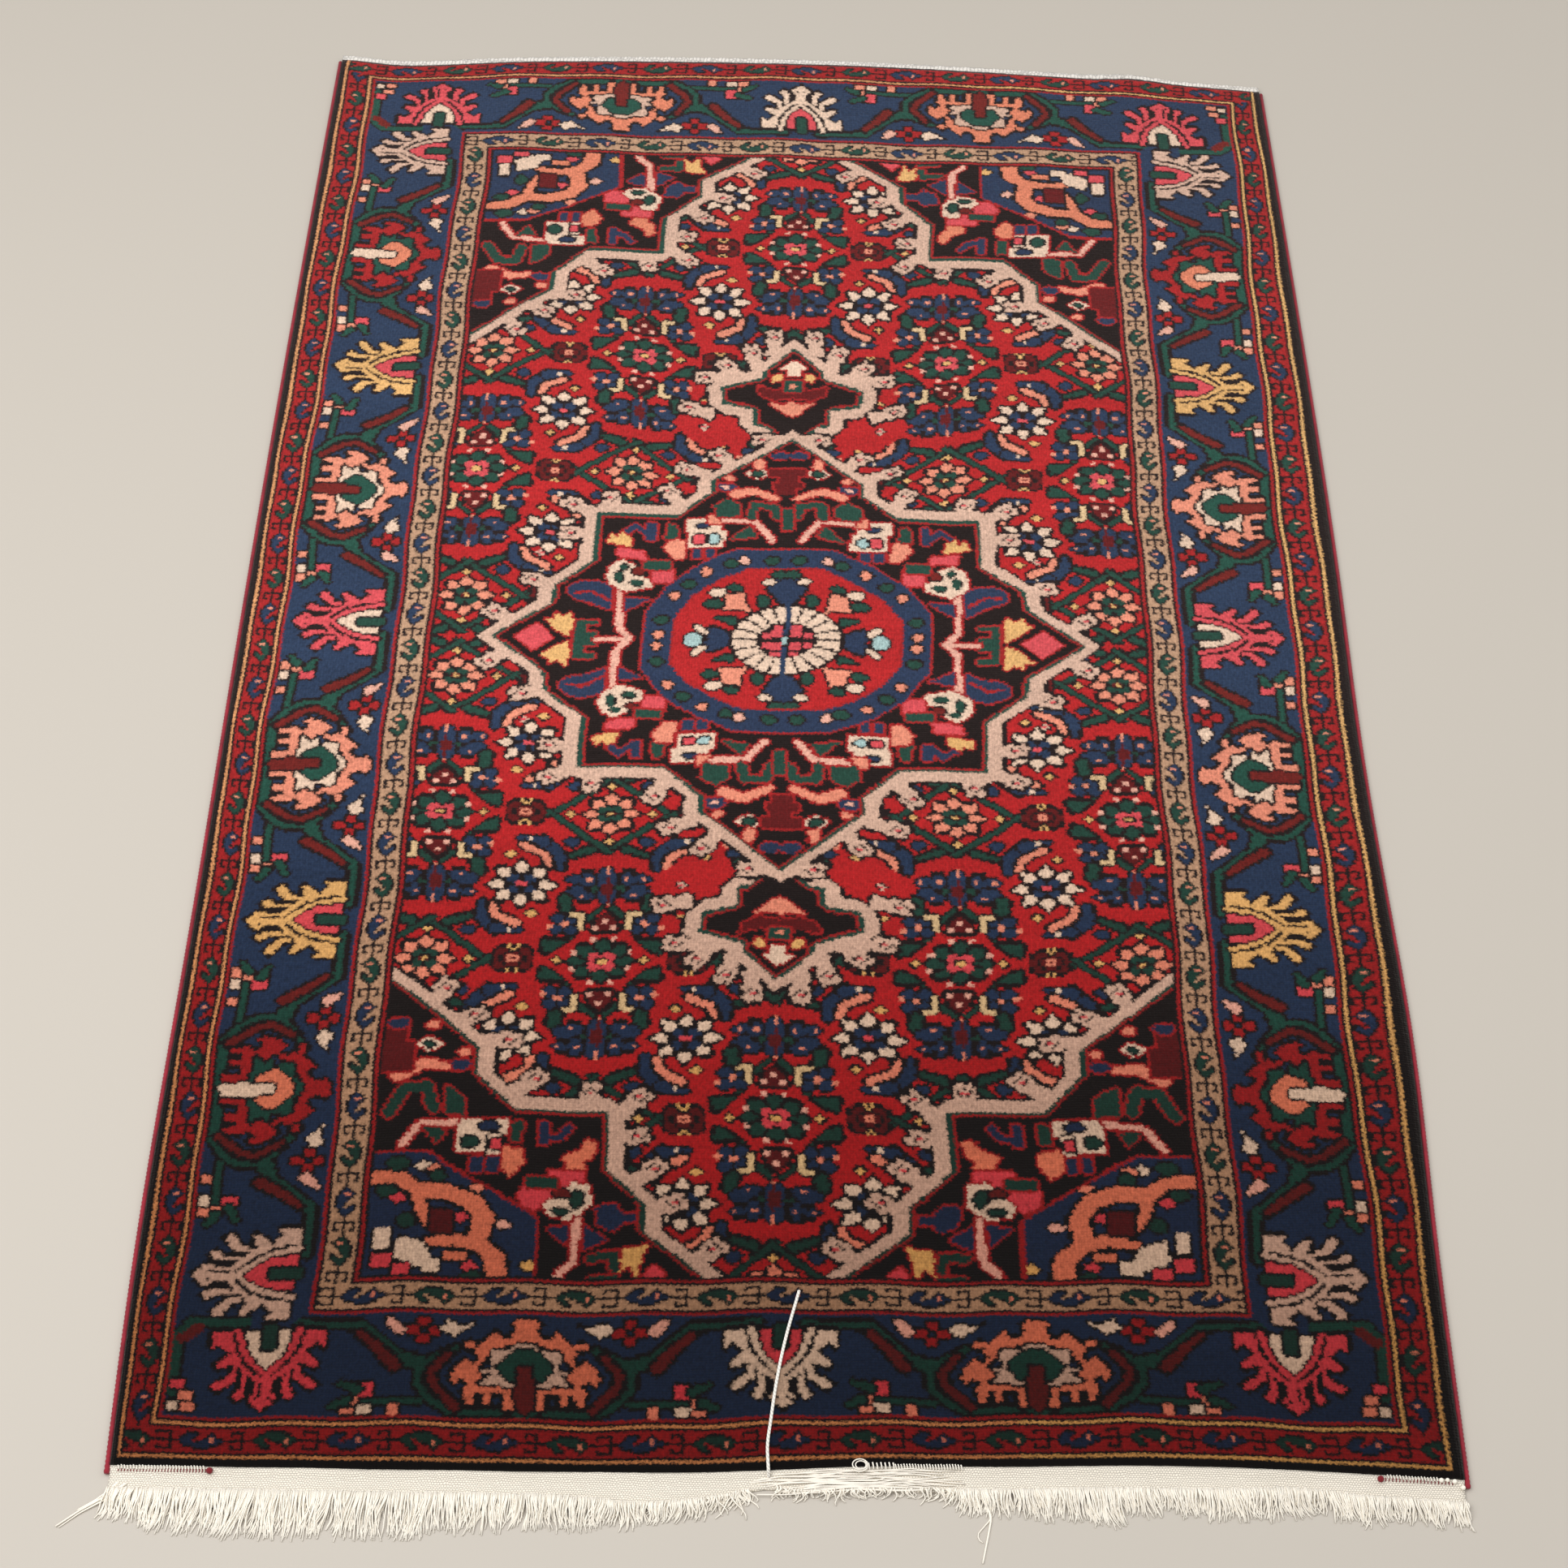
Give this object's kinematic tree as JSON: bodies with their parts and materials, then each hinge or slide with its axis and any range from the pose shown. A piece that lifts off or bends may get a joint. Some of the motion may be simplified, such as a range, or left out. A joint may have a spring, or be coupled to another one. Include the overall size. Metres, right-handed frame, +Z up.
{
  "type": "oriental rug",
  "caption": "Flat hand-knotted wool rug with a stepped centre medallion, corner pieces, a flowered main border, bound sides and a cotton fringe at one end.",
  "frame": {"origin": "middle of the rug's box on the floor, under the pile", "axes": "+X across the rug, +Y along its length away from the fringed end, +Z up out of the pile"},
  "size_m": [1.3748, 2.1766, 0.0138],
  "materials": {
    "wool_pile": "short sheared wool pile, patterned in red, navy, black, camel and ivory",
    "selvedge_wool": "red wool overcast",
    "cotton_warp": "undyed cotton weave and fringe",
    "cotton_yarn": "undyed twisted cotton"
  },
  "bodies": {
    "root": {"rug_body": "wool_pile", "selvedge_left": "selvedge_wool", "selvedge_right": "selvedge_wool", "kilim_fringe_front": "cotton_warp", "kilim_back": "cotton_warp", "loose_yarn": "cotton_yarn"}
  },
  "joints": []
}
